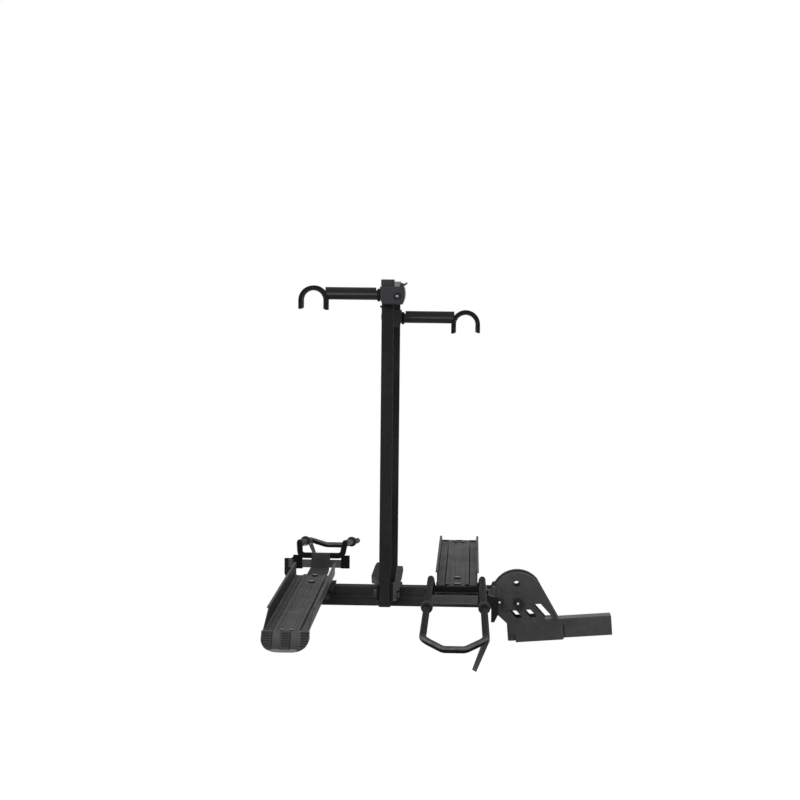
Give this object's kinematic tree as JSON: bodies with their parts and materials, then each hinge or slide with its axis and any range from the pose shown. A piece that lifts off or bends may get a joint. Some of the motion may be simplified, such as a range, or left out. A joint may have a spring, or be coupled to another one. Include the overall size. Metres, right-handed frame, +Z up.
{
  "type": "hitch bike rack",
  "caption": "Hitch bike rack with a tilting spine, side by side wheel trays and hoops, and folding posts whose hook arms slide down onto the frames.",
  "frame": {"origin": "on the shank's axis at the hitch-bolt hole, where the vehicle's receiver holds it", "axes": "+X towards the vehicle, +Y along the hitch bolt, +Z up and square to the bike platform; the shank rises 4.5 degrees towards +X"},
  "size_m": [0.8852, 1.582, 0.938],
  "materials": {
    "frame_paint": "satin black powder coat",
    "post_paint": "satin black powder coat, post tubes",
    "zinc_black": "black zinc plated fasteners",
    "black_plastic": "fine grained black moulding",
    "housing_plastic": "fine grained dark grey moulding",
    "cap_brown": "faded dark brown moulding",
    "cap_grey": "faded grey moulding",
    "strap_plastic": "flexible black strap",
    "grip_rubber": "soft black pad",
    "lock_metal": "satin lock face"
  },
  "bodies": {
    "hitch": {"hitch_shank": "frame_paint", "hitch_weld_nut": "zinc_black", "shank_end_plug": "black_plastic", "hitch_side_plate_near": "frame_paint", "hitch_side_plate_far": "frame_paint", "tilt_pivot_bolt": "zinc_black", "tilt_pivot_nut": "zinc_black", "tilt_washers": "zinc_black", "tilt_pivot_sleeve": "zinc_black"},
    "spine": {"spine_tube": "frame_paint", "spine_end_flange": "frame_paint", "spine_end_cap": "black_plastic", "tilt_ear_near": "frame_paint", "tilt_ear_far": "frame_paint", "lock_pin_guide": "frame_paint", "carrier_bolts": "zinc_black", "nose_screws": "zinc_black", "fold_bolts": "zinc_black", "front_post_bracket": "frame_paint", "back_post_bracket": "frame_paint", "right_carrier_bar": "frame_paint", "right_carrier_angles": "frame_paint", "right_tray": "frame_paint", "right_tray_nose": "black_plastic", "right_hoop": "frame_paint", "right_wheel_strap": "strap_plastic", "right_buckle_base": "black_plastic", "left_carrier_bar": "frame_paint", "left_carrier_angles": "frame_paint", "left_tray": "frame_paint", "left_tray_nose": "black_plastic", "left_hoop": "frame_paint", "left_wheel_strap": "strap_plastic", "left_buckle_base": "black_plastic"},
    "lock_pin": {"lock_pin": "zinc_black"},
    "front_post": {"front_post": "post_paint", "front_post_cap": "cap_brown"},
    "front_head": {"front_head_sleeve": "housing_plastic", "front_head_cover": "housing_plastic", "front_arm": "frame_paint", "front_arm_collar": "black_plastic", "front_hook": "frame_paint", "front_hook_pad": "grip_rubber", "front_lock_barrel": "lock_metal"},
    "front_release": {"front_release_lever": "black_plastic"},
    "front_fold_lever": {"front_fold_lever": "black_plastic"},
    "back_post": {"back_post": "post_paint", "back_post_cap": "cap_grey"},
    "back_head": {"back_head_sleeve": "housing_plastic", "back_head_cover": "housing_plastic", "back_arm": "frame_paint", "back_arm_collar": "black_plastic", "back_hook": "frame_paint", "back_hook_pad": "grip_rubber", "back_lock_barrel": "lock_metal"},
    "back_release": {"back_release_lever": "black_plastic"},
    "back_fold_lever": {"back_fold_lever": "black_plastic"},
    "right_buckle_lever": {"right_buckle_lever": "black_plastic"},
    "left_buckle_lever": {"left_buckle_lever": "black_plastic"}
  },
  "joints": [
    {"name": "tilt", "type": "hinge", "parent": "hitch", "child": "spine", "pos_m": [-0.1874, 0, 0.06149], "axis": [0, 1, 0], "range_deg": [0, 79.5]},
    {"name": "lock_pin_slide", "type": "slide", "parent": "spine", "child": "lock_pin", "axis": [0, 1, 0], "range_m": [0, 0.01]},
    {"name": "front_post_fold", "type": "hinge", "parent": "spine", "child": "front_post", "pos_m": [-0.5314, -0.067, 0.08449], "axis": [1, 0, 0], "range_deg": [0, 70]},
    {"name": "front_lever_turn", "type": "hinge", "parent": "spine", "child": "front_fold_lever", "pos_m": [-0.5054, -0.067, 0.08449], "axis": [1, 0, 0], "range_deg": [0, 60]},
    {"name": "front_head_slide", "type": "slide", "parent": "front_post", "child": "front_head", "axis": [0, 0, 1], "range_m": [-0.3, 0]},
    {"name": "front_release_turn", "type": "hinge", "parent": "front_head", "child": "front_release", "pos_m": [-0.4944, -0.102, 0.88179], "axis": [0, -1, 0], "range_deg": [0, 25], "stiffness_Nm_per_rad": 0.3, "springref_deg": -8.59},
    {"name": "back_post_fold", "type": "hinge", "parent": "spine", "child": "back_post", "pos_m": [-0.5194, 0.067, 0.08449], "axis": [-1, 0, 0], "range_deg": [0, 70]},
    {"name": "back_lever_turn", "type": "hinge", "parent": "spine", "child": "back_fold_lever", "pos_m": [-0.5454, 0.067, 0.08449], "axis": [-1, 0, 0], "range_deg": [0, 45]},
    {"name": "back_head_slide", "type": "slide", "parent": "back_post", "child": "back_head", "axis": [0, 0, 1], "range_m": [-0.3, 0]},
    {"name": "back_release_turn", "type": "hinge", "parent": "back_head", "child": "back_release", "pos_m": [-0.5454, 0.102, 0.81879], "axis": [0, 1, 0], "range_deg": [0, 25], "stiffness_Nm_per_rad": 0.3, "springref_deg": -8.59},
    {"name": "right_buckle_turn", "type": "hinge", "parent": "spine", "child": "right_buckle_lever", "pos_m": [-0.2694, -0.284, 0.10749], "axis": [0, 0, -1], "range_deg": [0, 80]},
    {"name": "left_buckle_turn", "type": "hinge", "parent": "spine", "child": "left_buckle_lever", "pos_m": [-0.7984, 0.284, 0.10749], "axis": [0, 0, -1], "range_deg": [0, 80]}
  ]
}
